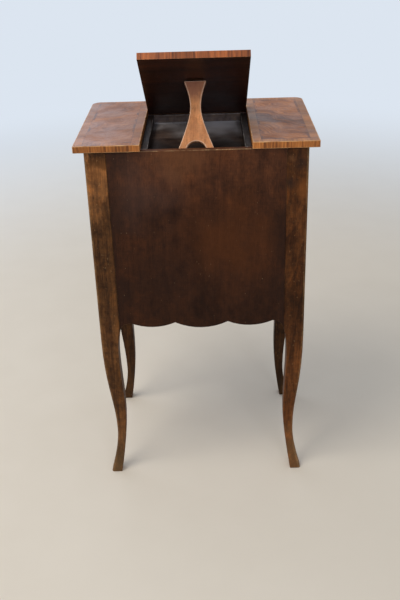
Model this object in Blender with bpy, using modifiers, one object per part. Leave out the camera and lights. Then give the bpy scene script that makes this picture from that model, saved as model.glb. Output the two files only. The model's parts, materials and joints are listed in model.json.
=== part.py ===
"""Reading table (table liseuse): a small veneered table on four sawn cabriole legs.

The middle of the top is a flap, hinged at the front, that is propped at a reading
angle by a waisted wooden strut. Three dovetailed drawers open towards the front (-Y).
Metres, +Z up, origin on the floor under the middle of the top.
"""
import math

import bmesh
import bpy
from mathutils import Matrix, Vector, geometry

# Top and case
TABLE_HEIGHT = 0.740
TOP_WIDTH = 0.450
TOP_DEPTH = 0.330
TOP_THICKNESS = 0.013
TOP_CORNER_RADIUS = 0.018
TOP_SIDE_WIDTH = 0.1225
TOP_FRONT_DEPTH = 0.0655
SIDE_OVERHANG = 0.019
FRONT_OVERHANG = 0.018
REAR_OVERHANG = 0.003
PANEL_THICKNESS = 0.015
BACK_THICKNESS = 0.0135
BACK_SETBACK = 0.0015
FIT = 0.0003
WELD_DISTANCE = 0.00002

# Legs, sawn to one curve on each pair of faces; pulls are how far a curve runs on before it turns
POST_WIDTH = 0.040
KNEE_HEIGHT = 0.335
KNEE_PULL = 0.120
WAIST_HEIGHT = 0.100
WAIST_INSET = 0.0155
WAIST_PULL_UP = 0.075
WAIST_PULL_DOWN = 0.035
ANKLE_HEIGHT = 0.030
ANKLE_INSET = 0.0065
SHIN_HEIGHT = 0.160
SHIN_WIDTH = 0.0371
SHIN_PULL_UP = 0.045
SHIN_PULL_DOWN = 0.055
CALF_HEIGHT = 0.290
CALF_WIDTH = 0.0335
CALF_PULL = 0.045
SHOULDER_PULL = 0.005
FOOT_KICK = 0.002
FOOT_WIDTH = 0.0225
HEEL_HEIGHT = 0.050
HEEL_INSET = 0.0085
SAW_MARGIN = 0.010
LEG_CURVE_STEPS = 9

# Scalloped lower edge of panels and apron
SCALLOP_HEIGHT = 0.371
CENTRE_LOBE_WIDTH = 0.106
CENTRE_LOBE_DROP = 0.0125
SIDE_LOBE_DROP = 0.0095
EAR_WIDTH = 0.023
EAR_DROP = 0.021
SCALLOP_STEPS = 8

# Front frame and drawers
TOP_RAIL_HEIGHT = 0.039
TOP_RAIL_DEPTH = 0.020
APRON_HEIGHT = 0.031
APRON_THICKNESS = 0.020
DRAWER_RAIL_THICKNESS = 0.014
RUNNER_SEAT = 0.014
GUIDE_HEIGHT = 0.020
DRAWER_NAMES = ("upper", "middle", "lower")
DRAWER_FRONT_THICKNESS = 0.016
DRAWER_FRONT_GAP = 0.001
DRAWER_SIDE_THICKNESS = 0.008
DRAWER_SIDE_GAP = 0.001
DRAWER_TOP_GAP = 0.004
DRAWER_REAR_GAP = 0.001
DRAWER_BACK_THICKNESS = 0.008
DRAWER_BOTTOM_THICKNESS = 0.005
DRAWER_BOTTOM_LIFT = 0.005
GROOVE_DEPTH = 0.004
TAIL_COUNT = 3
TAIL_LENGTH = 0.010
TAIL_ROOT = 0.013
TAIL_FLARE = 0.0025
KNOB_BASE_RADIUS = 0.0070
KNOB_BASE_THICKNESS = 0.0015
KNOB_NECK_RADIUS = 0.0028
KNOB_BALL_RADIUS = 0.0062
KNOB_LENGTH = 0.0155
KNOB_SIDES = 16

# Well under the flap, with ledges that the closed flap lies on
WELL_DEPTH = 0.0162
WELL_SIDE_LEDGE = 0.0125
WELL_FRONT_LEDGE = 0.006
WELL_FLOOR_THICKNESS = 0.006
WELL_BATTEN_WIDTH = 0.026

# Flap and its two butt hinges
FLAP_SIDE_GAP = 0.001
FLAP_HINGE_GAP = 0.001
FLAP_ANGLE = math.radians(35.5)
FLAP_HINGE_LENGTH = 0.036
FLAP_HINGE_INSET = 0.0185
FLAP_LEAF_HEIGHT = 0.0100
FLAP_LEAF_THICKNESS = 0.0010

# Strut and the butt hinge at its head
STRUT_HINGE_REACH = 0.165
STRUT_HINGE_DROP = 0.0026
STRUT_HINGE_LENGTH = 0.030
STRUT_LEAF_HEIGHT = 0.012
STRUT_LEAF_THICKNESS = 0.0012
STRUT_THICKNESS = 0.008
STRUT_FACE_INSET = 0.002
STRUT_HEAD_RISE = 0.0002
STRUT_HEAD_WIDTH = 0.042
STRUT_SHOULDER_DROP = 0.016
STRUT_SHOULDER_INSET = 0.0055
STRUT_WAIST_WIDTH = 0.020
STRUT_WAIST_DROP = 0.053
STRUT_WAIST_PULL_UP = 0.019
STRUT_WAIST_PULL_DOWN = 0.022
STRUT_FOOT_WIDTH = 0.078
STRUT_FLARE_RISE = 0.045
STRUT_FLARE_INSET = 0.0173
STRUT_ARCH_RADIUS = 0.0185
STRUT_ARCH_TOP = 0.0300
STRUT_CURVE_STEPS = 10

# Knuckles shared by all three hinges
BARREL_RADIUS = 0.0021
BORE_RADIUS = 0.00110
PIN_RADIUS = 0.00075
KNUCKLE_CLEARANCE = 0.0004
BARREL_SIDES = 16

# Faces that several pieces share
case_half_width = TOP_WIDTH / 2 - SIDE_OVERHANG
case_rear = TOP_DEPTH / 2 - REAR_OVERHANG
case_front = -TOP_DEPTH / 2 + FRONT_OVERHANG
top_underside = TABLE_HEIGHT - TOP_THICKNESS
case_top = top_underside - FIT
post_inner_x = case_half_width - POST_WIDTH
front_post_rear = case_front + POST_WIDTH
rear_post_front = case_rear - POST_WIDTH
side_panel_inner = case_half_width - PANEL_THICKNESS
back_panel_inner = case_rear - BACK_SETBACK - BACK_THICKNESS
hinge_y = -TOP_DEPTH / 2 + TOP_FRONT_DEPTH + FLAP_HINGE_GAP / 2
flap_length = TOP_DEPTH / 2 - hinge_y - FLAP_HINGE_GAP / 2
flap_opening_half = TOP_WIDTH / 2 - TOP_SIDE_WIDTH
flap_half = flap_opening_half - FLAP_SIDE_GAP
well_floor_top = case_top - WELL_DEPTH
well_front = hinge_y + WELL_FRONT_LEDGE
well_half = flap_opening_half - WELL_SIDE_LEDGE
batten_outer_x = well_half + WELL_BATTEN_WIDTH
top_rail_rear = case_front + TOP_RAIL_DEPTH
barrel_room = BARREL_RADIUS + KNUCKLE_CLEARANCE
drawers_top = case_top - TOP_RAIL_HEIGHT
apron_top = SCALLOP_HEIGHT + APRON_HEIGHT
ear_bottom = SCALLOP_HEIGHT - EAR_DROP
opening_height = (drawers_top - apron_top - 2 * DRAWER_RAIL_THICKNESS) / 3
opening_pitch = opening_height + DRAWER_RAIL_THICKNESS

# A board's outline is drawn flat and then stood in one of these planes
FLAT_PLANE = Matrix.Identity(4)
FRONT_PLANE = Matrix(((1, 0, 0), (0, 0, -1), (0, 1, 0))).to_4x4()
SIDE_PLANE = Matrix(((0, 0, 1), (1, 0, 0), (0, 1, 0))).to_4x4()

for old in list(bpy.data.objects):
    bpy.data.objects.remove(old, do_unlink=True)
table = bpy.data.collections.new("reading_table")
cutters = bpy.data.collections.new("reading_table_cutters")
bpy.context.scene.collection.children.link(table)
bpy.context.scene.collection.children.link(cutters)


def finish(name, colour, roughness, metallic=0.0):
    """A plain Principled material."""
    material = bpy.data.materials.new(name)
    material.use_nodes = True
    shader = material.node_tree.nodes["Principled BSDF"]
    shader.inputs["Base Color"].default_value = (*colour, 1.0)
    shader.inputs["Roughness"].default_value = roughness
    shader.inputs["Metallic"].default_value = metallic
    return material


top_veneer = finish("top_veneer", (0.200, 0.085, 0.035), 0.35)
case_wood = finish("case_wood", (0.075, 0.030, 0.013), 0.45)
leg_wood = finish("leg_wood", (0.115, 0.050, 0.020), 0.42)
flap_wood = finish("flap_wood", (0.180, 0.075, 0.032), 0.35)
strut_wood = finish("strut_wood", (0.380, 0.190, 0.090), 0.50)
lining_wood = finish("lining_wood", (0.300, 0.190, 0.100), 0.65)
well_wood = finish("well_wood", (0.060, 0.045, 0.040), 0.45)
brass = finish("brass", (0.500, 0.340, 0.120), 0.35, metallic=1.0)


def add_piece(name, mesh, material, parent=None):
    """Make a named piece of the table from a mesh."""
    piece = bpy.data.objects.new(name, mesh)
    mesh.materials.append(material)
    table.objects.link(piece)
    piece.parent = parent
    return piece


def add_pivot(name, location, turn=0.0, parent=None):
    """An empty on a joint's axis, turned about X, that carries a moving piece."""
    pivot = bpy.data.objects.new(name, None)
    table.objects.link(pivot)
    pivot.parent = parent
    pivot.location = location
    pivot.rotation_euler.x = turn
    return pivot


def shape_piece(piece, mesh, operation, parent=None):
    """Cut a piece by a tool mesh, or join the tool mesh to it."""
    tool = bpy.data.objects.new(piece.name + "_tool", mesh)
    cutters.objects.link(tool)
    tool.parent = parent
    tool.hide_render = True
    tool.display_type = "WIRE"
    boolean = piece.modifiers.new(operation.lower(), "BOOLEAN")
    boolean.operation = operation
    boolean.solver = "EXACT"
    boolean.object = tool


def box_mesh(low, high):
    """A box between two corners."""
    low = Vector(low)
    high = Vector(high)
    mesh = bpy.data.meshes.new("box")
    shape = bmesh.new()
    place = Matrix.LocRotScale((low + high) / 2, None, high - low)
    bmesh.ops.create_cube(shape, size=1.0, matrix=place)
    shape.to_mesh(mesh)
    shape.free()
    return mesh


def rod_mesh(spans, radius, sides):
    """Round rods on the X axis, one for each span (start, end)."""
    mesh = bpy.data.meshes.new("rod")
    shape = bmesh.new()
    for start, end in spans:
        place = Matrix.Translation(((start + end) / 2, 0, 0)) @ Matrix.Rotation(math.pi / 2, 4, "Y")
        bmesh.ops.create_cone(shape, cap_ends=True, segments=sides, radius1=radius, radius2=radius,
                              depth=end - start, matrix=place)
    shape.to_mesh(mesh)
    shape.free()
    return mesh


def board_mesh(outlines, thickness, plane, offset):
    """Closed outlines sawn from a board, whose middle lies at offset along the plane's normal axis."""
    curve = bpy.data.curves.new("outline", "CURVE")
    curve.dimensions = "2D"
    curve.fill_mode = "BOTH"
    curve.extrude = thickness / 2
    for outline in outlines:
        spline = curve.splines.new("POLY")
        spline.points.add(len(outline) - 1)
        for point, (x, y) in zip(spline.points, outline):
            point.co = (x, y, 0, 1)
        spline.use_cyclic_u = True
    drawn = bpy.data.objects.new("outline", curve)
    table.objects.link(drawn)
    graph = bpy.context.evaluated_depsgraph_get()
    mesh = bpy.data.meshes.new_from_object(drawn.evaluated_get(graph))
    bpy.data.objects.remove(drawn)
    shape = bmesh.new()
    shape.from_mesh(mesh)
    bmesh.ops.remove_doubles(shape, verts=shape.verts, dist=WELD_DISTANCE)
    normal = plane.to_3x3() @ Vector((0, 0, 1))
    along = Vector([abs(part) for part in normal]) * offset
    bmesh.ops.transform(shape, matrix=Matrix.Translation(along) @ plane, verts=shape.verts)
    bmesh.ops.recalc_face_normals(shape, faces=shape.faces)
    shape.to_mesh(mesh)
    shape.free()
    return mesh


def bezier(knots, steps):
    """Points of one cubic stretch from (start, handle, handle, end), the end left out."""
    places = [Vector((x, y, 0)) for x, y in knots]
    return [(p.x, p.y) for p in geometry.interpolate_bezier(*places, steps + 1)[:-1]]


def arc(centre, radii, start, end, steps):
    """Points of an elliptic arc between two angles in degrees, both ends included."""
    turns = [math.radians(start + (end - start) * step / steps) for step in range(steps + 1)]
    return [(centre[0] + radii[0] * math.cos(turn), centre[1] + radii[1] * math.sin(turn)) for turn in turns]


def sagging_arc(start_x, end_x, level, drop, steps):
    """A lobe that hangs below a level line, without its two end points."""
    half = (end_x - start_x) / 2
    radius = (half ** 2 + drop ** 2) / (2 * drop)
    middle = (start_x + end_x) / 2
    reach = math.asin(half / radius)
    turns = [reach * (2 * step / steps - 1) for step in range(1, steps)]
    lift = level - drop + radius
    return [(middle + radius * math.sin(turn), lift - radius * math.cos(turn)) for turn in turns]


def scalloped(half_width, top):
    """Outline of a board whose lower edge has a centre lobe, two side lobes and an ear at each leg."""
    lobe = CENTRE_LOBE_WIDTH / 2
    ear = half_width - EAR_WIDTH
    level = SCALLOP_HEIGHT
    right = [(lobe, level)]
    right += sagging_arc(lobe, ear, level, SIDE_LOBE_DROP, SCALLOP_STEPS)
    right += arc((ear, level - EAR_DROP), (EAR_WIDTH, EAR_DROP), 90, 0, SCALLOP_STEPS)
    left = [(-x, z) for x, z in reversed(right)]
    centre = sagging_arc(-lobe, lobe, level, CENTRE_LOBE_DROP, SCALLOP_STEPS)
    return left + centre + right + [(half_width, top), (-half_width, top)]


def leg_outline(face, inward):
    """Outline of a leg on one face, from its outer face's place and the direction towards the case."""
    waist = (WAIST_INSET, WAIST_HEIGHT)
    outer = bezier(((0, KNEE_HEIGHT), (0, KNEE_HEIGHT - KNEE_PULL),
                    (WAIST_INSET, WAIST_HEIGHT + WAIST_PULL_UP), waist), LEG_CURVE_STEPS)
    outer += bezier((waist, (WAIST_INSET, WAIST_HEIGHT - WAIST_PULL_DOWN),
                     (ANKLE_INSET, ANKLE_HEIGHT), (-FOOT_KICK, 0)), LEG_CURVE_STEPS)
    heel = FOOT_WIDTH - FOOT_KICK
    shin = (SHIN_WIDTH, SHIN_HEIGHT)
    calf = (CALF_WIDTH, CALF_HEIGHT)
    inner = bezier(((heel, 0), (heel + HEEL_INSET, HEEL_HEIGHT),
                    (SHIN_WIDTH, SHIN_HEIGHT - SHIN_PULL_DOWN), shin), LEG_CURVE_STEPS)
    inner += bezier((shin, (SHIN_WIDTH, SHIN_HEIGHT + SHIN_PULL_UP),
                     (CALF_WIDTH, CALF_HEIGHT - CALF_PULL), calf), LEG_CURVE_STEPS)
    inner += bezier((calf, (CALF_WIDTH, CALF_HEIGHT + CALF_PULL),
                     (POST_WIDTH, ear_bottom - SHOULDER_PULL), (POST_WIDTH, ear_bottom)), LEG_CURVE_STEPS)
    drawn = [(0, case_top)] + outer + [(-FOOT_KICK, 0)] + inner
    drawn += [(POST_WIDTH, ear_bottom), (POST_WIDTH, case_top)]
    return [(face + inward * inset, height) for inset, height in drawn]


# Legs: each is the stuff left by sawing one outline through from the front and one from the side
sawn_depth = POST_WIDTH + 2 * (FOOT_KICK + SAW_MARGIN)
for row, face_y, inward_y in (("front", case_front, 1), ("rear", case_rear, -1)):
    for side, inward_x in (("left", 1), ("right", -1)):
        face_x = -inward_x * case_half_width
        from_front = board_mesh([leg_outline(face_x, inward_x)], sawn_depth, FRONT_PLANE,
                                face_y + inward_y * POST_WIDTH / 2)
        from_side = board_mesh([leg_outline(face_y, inward_y)], sawn_depth, SIDE_PLANE,
                               face_x + inward_x * POST_WIDTH / 2)
        leg = add_piece(f"leg_{row}_{side}", from_front, leg_wood)
        shape_piece(leg, from_side, "INTERSECT")

# Panels between the legs
back_half = post_inner_x - FIT
add_piece("back_panel", board_mesh([scalloped(back_half, case_top)], BACK_THICKNESS, FRONT_PLANE,
                                   back_panel_inner + BACK_THICKNESS / 2), case_wood)
side_half = (rear_post_front - front_post_rear) / 2 - FIT
side_middle = (rear_post_front + front_post_rear) / 2
for side, sign in (("left", -1), ("right", 1)):
    outline = [(side_middle + y, z) for y, z in scalloped(side_half, case_top)]
    add_piece(f"side_panel_{side}", board_mesh([outline], PANEL_THICKNESS, SIDE_PLANE,
                                               sign * (case_half_width - PANEL_THICKNESS / 2)), case_wood)

# Front frame
add_piece("front_top_rail", box_mesh((-back_half, case_front, drawers_top),
                                     (back_half, top_rail_rear, case_top)), case_wood)
add_piece("front_apron", board_mesh([scalloped(back_half, apron_top)], APRON_THICKNESS, FRONT_PLANE,
                                    case_front + APRON_THICKNESS / 2), case_wood)
for order, name in ((1, "upper"), (2, "lower")):
    rail_bottom = drawers_top - order * opening_pitch
    add_piece(f"drawer_rail_{name}",
              box_mesh((-back_half, case_front, rail_bottom),
                       (back_half, front_post_rear, rail_bottom + DRAWER_RAIL_THICKNESS)), case_wood)

# Drawer runners: a seat under each drawer side and a guide beside it, along the side panel
runner_length = rear_post_front - front_post_rear - 2 * FIT
for order, drawer in enumerate(DRAWER_NAMES):
    seat = drawers_top - order * opening_pitch - opening_height
    for side, sign in (("left", -1), ("right", 1)):
        panel_x = sign * (side_panel_inner - FIT)
        guide_x = sign * post_inner_x
        inner_x = sign * (post_inner_x - RUNNER_SEAT)
        outline = [(panel_x, seat - DRAWER_RAIL_THICKNESS), (inner_x, seat - DRAWER_RAIL_THICKNESS),
                   (inner_x, seat), (guide_x, seat), (guide_x, seat + GUIDE_HEIGHT),
                   (panel_x, seat + GUIDE_HEIGHT)]
        add_piece(f"runner_{drawer}_{side}",
                  board_mesh([outline], runner_length, FRONT_PLANE, side_middle), lining_wood)

# Well: a board notched round the legs closes the case, and battens on it frame the well
floor_outline = [(side_panel_inner - FIT, front_post_rear + FIT),
                 (side_panel_inner - FIT, rear_post_front - FIT),
                 (back_half, rear_post_front - FIT), (back_half, back_panel_inner - FIT)]
floor_outline += [(-x, y) for x, y in reversed(floor_outline)]
floor_outline += [(-back_half, front_post_rear + FIT), (-back_half, top_rail_rear + FIT),
                  (back_half, top_rail_rear + FIT), (back_half, front_post_rear + FIT)]
add_piece("well_floor", board_mesh([floor_outline], WELL_FLOOR_THICKNESS, FLAT_PLANE,
                                   well_floor_top - WELL_FLOOR_THICKNESS / 2), well_wood)
add_piece("well_batten_front",
          box_mesh((-batten_outer_x, top_rail_rear + FIT, well_floor_top + FIT),
                   (batten_outer_x, well_front, case_top)), well_wood)
for side, sign in (("left", -1), ("right", 1)):
    edges = sorted((sign * well_half, sign * batten_outer_x))
    add_piece(f"well_batten_{side}",
              box_mesh((edges[0], well_front + FIT, well_floor_top + FIT),
                       (edges[1], back_panel_inner - FIT, case_top)), well_wood)

# Top: two side boards with a round front corner, and the strip in front of the flap
top_middle = top_underside + TOP_THICKNESS / 2
for side, sign in (("left", -1), ("right", 1)):
    corner = (TOP_WIDTH / 2 - TOP_CORNER_RADIUS, -TOP_DEPTH / 2 + TOP_CORNER_RADIUS)
    outline = arc(corner, (TOP_CORNER_RADIUS, TOP_CORNER_RADIUS), -90, 0, SCALLOP_STEPS)
    outline += [(TOP_WIDTH / 2, TOP_DEPTH / 2), (flap_opening_half, TOP_DEPTH / 2),
                (flap_opening_half, -TOP_DEPTH / 2)]
    add_piece(f"top_{side}", board_mesh([[(sign * x, y) for x, y in outline]], TOP_THICKNESS, FLAT_PLANE,
                                        top_middle), top_veneer)
strip_half = flap_opening_half - FIT
front_strip = box_mesh((-strip_half, -TOP_DEPTH / 2, top_underside),
                       (strip_half, hinge_y - FLAP_HINGE_GAP / 2, TABLE_HEIGHT))
top_front = add_piece("top_front", front_strip, top_veneer)


def hinge_spans(length, middle):
    """Spans along X of a hinge's two outer knuckles and of its middle knuckle."""
    third = length / 3
    outer = [(middle - length / 2, middle - third / 2 - FIT), (middle + third / 2 + FIT, middle + length / 2)]
    return outer, [(middle - third / 2, middle + third / 2)]


def widened(spans):
    """The same spans with room at both ends."""
    return [(start - FIT, end + FIT) for start, end in spans]


def hinge_leaf(name, plate, own_spans, other_spans, pivot):
    """A leaf: its plate, its own knuckles, room for the other leaf's knuckles, and the pin's bore."""
    leaf = add_piece(name, box_mesh(*plate), brass, pivot)
    shape_piece(leaf, rod_mesh(widened(other_spans), barrel_room, BARREL_SIDES), "DIFFERENCE", pivot)
    shape_piece(leaf, rod_mesh(own_spans, BARREL_RADIUS, BARREL_SIDES), "UNION", pivot)
    ends = [span[0] for span in own_spans + other_spans] + [span[1] for span in own_spans + other_spans]
    bore = [(min(ends) - BARREL_RADIUS, max(ends) + BARREL_RADIUS)]
    shape_piece(leaf, rod_mesh(bore, BORE_RADIUS, BARREL_SIDES), "DIFFERENCE", pivot)
    return leaf


# Flap, on an empty at its hinge axis: the top edge of the gap in front of it
flap_axis = (0, hinge_y, TABLE_HEIGHT)
case_hinge = add_pivot("flap_hinge_axis", flap_axis)
flap_pivot = add_pivot("flap_pivot", flap_axis, FLAP_ANGLE)
flap = add_piece("flap", box_mesh((-flap_half, FLAP_HINGE_GAP / 2, -TOP_THICKNESS),
                                  (flap_half, FLAP_HINGE_GAP / 2 + flap_length, 0)), flap_wood, flap_pivot)
for side, sign in (("left", -1), ("right", 1)):
    middle = sign * (flap_half - FLAP_HINGE_INSET - FLAP_HINGE_LENGTH / 2)
    outer, inner = hinge_spans(FLAP_HINGE_LENGTH, middle)
    ends = (outer[0][0], outer[1][1])
    near = FIT
    far = FIT + FLAP_LEAF_THICKNESS
    hinge_leaf(f"flap_hinge_fixed_leaf_{side}", ((ends[0], -far, -FLAP_LEAF_HEIGHT), (ends[1], -near, 0)),
               outer, inner, case_hinge)
    hinge_leaf(f"flap_hinge_moving_leaf_{side}", ((ends[0], near, -FLAP_LEAF_HEIGHT), (ends[1], far, 0)),
               inner, outer, flap_pivot)
    add_piece(f"flap_hinge_pin_{side}", rod_mesh([ends], PIN_RADIUS, BARREL_SIDES), brass, case_hinge)
    # Both wooden edges are let in for the leaf and for the barrel
    recess = widened([ends])[0]
    for edge, pivot in ((top_front, case_hinge), (flap, flap_pivot)):
        depth = far + FIT
        let_in = box_mesh((recess[0], -depth, -FLAP_LEAF_HEIGHT - FIT), (recess[1], depth, BARREL_RADIUS))
        shape_piece(edge, let_in, "DIFFERENCE", pivot)
        shape_piece(edge, rod_mesh([recess], barrel_room, BARREL_SIDES), "DIFFERENCE", pivot)

# Strut: hangs from the flap by its head, and stands in the well against the back panel
strut_axis_drop = TOP_THICKNESS + STRUT_HINGE_DROP
head_y = hinge_y + STRUT_HINGE_REACH * math.cos(FLAP_ANGLE) + strut_axis_drop * math.sin(FLAP_ANGLE)
head_z = TABLE_HEIGHT + STRUT_HINGE_REACH * math.sin(FLAP_ANGLE) - strut_axis_drop * math.cos(FLAP_ANGLE)
to_foot = Vector((back_panel_inner - FIT - head_y, well_floor_top + FIT - head_z))
rear_face = STRUT_THICKNESS - STRUT_FACE_INSET
strut_length = math.sqrt(to_foot.length_squared - rear_face ** 2)
strut_lean = math.atan2(to_foot.y, to_foot.x) - math.atan2(-strut_length, rear_face)
strut_axis = (0, STRUT_HINGE_REACH, -strut_axis_drop)
strut_pivot = add_pivot("strut_pivot", strut_axis, strut_lean - FLAP_ANGLE, flap_pivot)
head_half = STRUT_HEAD_WIDTH / 2
waist_half = STRUT_WAIST_WIDTH / 2
foot_half = STRUT_FOOT_WIDTH / 2
waist_z = -STRUT_WAIST_DROP
right_edge = bezier(((head_half, STRUT_HEAD_RISE), (head_half - STRUT_SHOULDER_INSET, -STRUT_SHOULDER_DROP),
                     (waist_half, waist_z + STRUT_WAIST_PULL_UP), (waist_half, waist_z)), STRUT_CURVE_STEPS)
right_edge += bezier(((waist_half, waist_z), (waist_half, waist_z - STRUT_WAIST_PULL_DOWN),
                      (foot_half - STRUT_FLARE_INSET, -strut_length + STRUT_FLARE_RISE),
                      (foot_half, -strut_length)), STRUT_CURVE_STEPS)
right_edge += [(foot_half, -strut_length), (STRUT_ARCH_RADIUS, -strut_length)]
arch_centre = (0, -strut_length + STRUT_ARCH_TOP - STRUT_ARCH_RADIUS)
right_edge += arc(arch_centre, (STRUT_ARCH_RADIUS, STRUT_ARCH_RADIUS), 0, 90, STRUT_CURVE_STEPS)
strut_outline = right_edge + [(-x, z) for x, z in reversed(right_edge[:-1])]
strut = add_piece("strut", board_mesh([strut_outline], STRUT_THICKNESS, FRONT_PLANE,
                                      rear_face - STRUT_THICKNESS / 2), strut_wood, strut_pivot)
shape_piece(strut, box_mesh((-STRUT_FOOT_WIDTH, 0, well_floor_top - STRUT_THICKNESS),
                            (STRUT_FOOT_WIDTH, TOP_DEPTH, well_floor_top + FIT)), "DIFFERENCE")
outer, inner = hinge_spans(STRUT_HINGE_LENGTH, 0)
ends = (outer[0][0], outer[1][1])
recess = widened([ends])[0]
shape_piece(strut, rod_mesh([recess], barrel_room, BARREL_SIDES), "DIFFERENCE", strut_pivot)
leaf_face = -STRUT_FACE_INSET + STRUT_LEAF_THICKNESS
shape_piece(strut, box_mesh((recess[0], -STRUT_THICKNESS, -STRUT_LEAF_HEIGHT - FIT),
                            (recess[1], leaf_face + FIT, BARREL_RADIUS)), "DIFFERENCE", strut_pivot)
strut_hinge = add_pivot("strut_hinge_axis", strut_axis, 0.0, flap_pivot)
plate_top = STRUT_HINGE_DROP - FIT
plate_bottom = plate_top - STRUT_LEAF_THICKNESS
hinge_leaf("strut_hinge_fixed_leaf", ((ends[0], 0, plate_bottom), (ends[1], STRUT_LEAF_HEIGHT, plate_top)),
           outer, inner, strut_hinge)
# A strut that leans far enough is let in for the leaf on the flap
shape_piece(strut, box_mesh((recess[0], 0, plate_bottom - FIT), (recess[1], STRUT_LEAF_HEIGHT + FIT, plate_top)),
            "DIFFERENCE", strut_hinge)
hinge_leaf("strut_hinge_moving_leaf", ((ends[0], -STRUT_FACE_INSET, -STRUT_LEAF_HEIGHT),
                                       (ends[1], leaf_face, 0)), inner, outer, strut_pivot)
add_piece("strut_hinge_pin", rod_mesh([ends], PIN_RADIUS, BARREL_SIDES), brass, strut_hinge)


def knob_mesh():
    """Half outline of a turned knob, from its tip down to its base, for a Screw modifier."""
    ball_centre = KNOB_LENGTH - KNOB_BALL_RADIUS
    neck_angle = math.degrees(-math.acos(KNOB_NECK_RADIUS / KNOB_BALL_RADIUS))
    outline = arc((0, ball_centre), (KNOB_BALL_RADIUS, KNOB_BALL_RADIUS), 90, neck_angle, SCALLOP_STEPS)
    outline += [(KNOB_NECK_RADIUS, KNOB_BASE_THICKNESS), (KNOB_BASE_RADIUS, KNOB_BASE_THICKNESS),
                (KNOB_BASE_RADIUS, 0), (0, 0)]
    outline[0] = (0, KNOB_LENGTH)
    mesh = bpy.data.meshes.new("knob")
    shape = bmesh.new()
    corners = [shape.verts.new((x, 0, z)) for x, z in outline]
    for start, end in zip(corners, corners[1:]):
        shape.edges.new((start, end))
    shape.to_mesh(mesh)
    shape.free()
    return mesh


def tails(shoulder, bottom, height, room):
    """Outlines of a drawer side's dovetails in front of its shoulder, grown by room."""
    drawn = []
    for order in range(TAIL_COUNT):
        middle = bottom + (order + 0.5) * height / TAIL_COUNT
        root = TAIL_ROOT / 2 + room
        tip = root + TAIL_FLARE
        drawn.append([(shoulder, middle - root), (shoulder - TAIL_LENGTH - room, middle - tip),
                      (shoulder - TAIL_LENGTH - room, middle + tip), (shoulder, middle + root)])
    return drawn


# Drawers, each on an empty at the middle of its front
drawer_half = post_inner_x - DRAWER_SIDE_GAP
side_inner = drawer_half - DRAWER_SIDE_THICKNESS
front_rear = DRAWER_FRONT_THICKNESS
drawer_rear = back_panel_inner - DRAWER_REAR_GAP - case_front
for order, drawer in enumerate(DRAWER_NAMES):
    seat = drawers_top - order * opening_pitch - opening_height
    slide = add_pivot(f"drawer_{drawer}_slide", (0, case_front, seat))
    front_board = box_mesh((-drawer_half, 0, DRAWER_FRONT_GAP),
                           (drawer_half, front_rear, opening_height - DRAWER_FRONT_GAP))
    front = add_piece(f"drawer_{drawer}_front", front_board, top_veneer, slide)
    side_bottom = FIT
    side_top = opening_height - DRAWER_TOP_GAP
    bottom_low = side_bottom + DRAWER_BOTTOM_LIFT
    bottom_high = bottom_low + DRAWER_BOTTOM_THICKNESS
    side_height = side_top - side_bottom
    shoulder = front_rear + FIT
    for side, sign in (("left", -1), ("right", 1)):
        outline = [(drawer_rear, side_top), (drawer_rear, side_bottom), (shoulder, side_bottom)]
        for tail in tails(shoulder, side_bottom, side_height, 0):
            outline += tail
        outline.append((shoulder, side_top))
        middle = sign * (drawer_half - DRAWER_SIDE_THICKNESS / 2)
        wall = add_piece(f"drawer_{drawer}_side_{side}",
                         board_mesh([outline], DRAWER_SIDE_THICKNESS, SIDE_PLANE, middle), lining_wood, slide)
        groove_x = sorted((sign * (side_inner - GROOVE_DEPTH), sign * (side_inner + GROOVE_DEPTH)))
        groove = box_mesh((groove_x[0], 0, bottom_low - FIT),
                          (groove_x[1], drawer_rear + GROOVE_DEPTH, bottom_high + FIT))
        shape_piece(wall, groove, "DIFFERENCE", slide)
        socket_depth = DRAWER_SIDE_THICKNESS + FIT
        sockets = board_mesh(tails(shoulder, side_bottom, side_height, FIT), 2 * socket_depth,
                             SIDE_PLANE, sign * drawer_half)
        shape_piece(front, sockets, "DIFFERENCE", slide)
    lining_half = side_inner - FIT
    bottom_half = side_inner + GROOVE_DEPTH - FIT
    bottom_board = box_mesh((-bottom_half, shoulder, bottom_low), (bottom_half, drawer_rear, bottom_high))
    add_piece(f"drawer_{drawer}_bottom", bottom_board, lining_wood, slide)
    back_board = box_mesh((-lining_half, drawer_rear - DRAWER_BACK_THICKNESS, bottom_high + FIT),
                          (lining_half, drawer_rear, side_top))
    add_piece(f"drawer_{drawer}_back", back_board, lining_wood, slide)
    knob = add_piece(f"drawer_{drawer}_knob", knob_mesh(), brass, slide)
    knob.location = (0, -FIT, opening_height / 2)
    knob.rotation_euler.x = math.pi / 2
    turned = knob.modifiers.new("turned", "SCREW")
    turned.steps = KNOB_SIDES
    turned.render_steps = KNOB_SIDES
    turned.use_merge_vertices = True
    turned.merge_threshold = WELD_DISTANCE
    turned.use_smooth_shade = True
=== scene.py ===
"""Looks of a small reading table: walnut veneers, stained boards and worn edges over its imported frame."""
import json
import math
from collections import namedtuple

import bmesh
import bpy
from mathutils import Matrix, Vector

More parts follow.
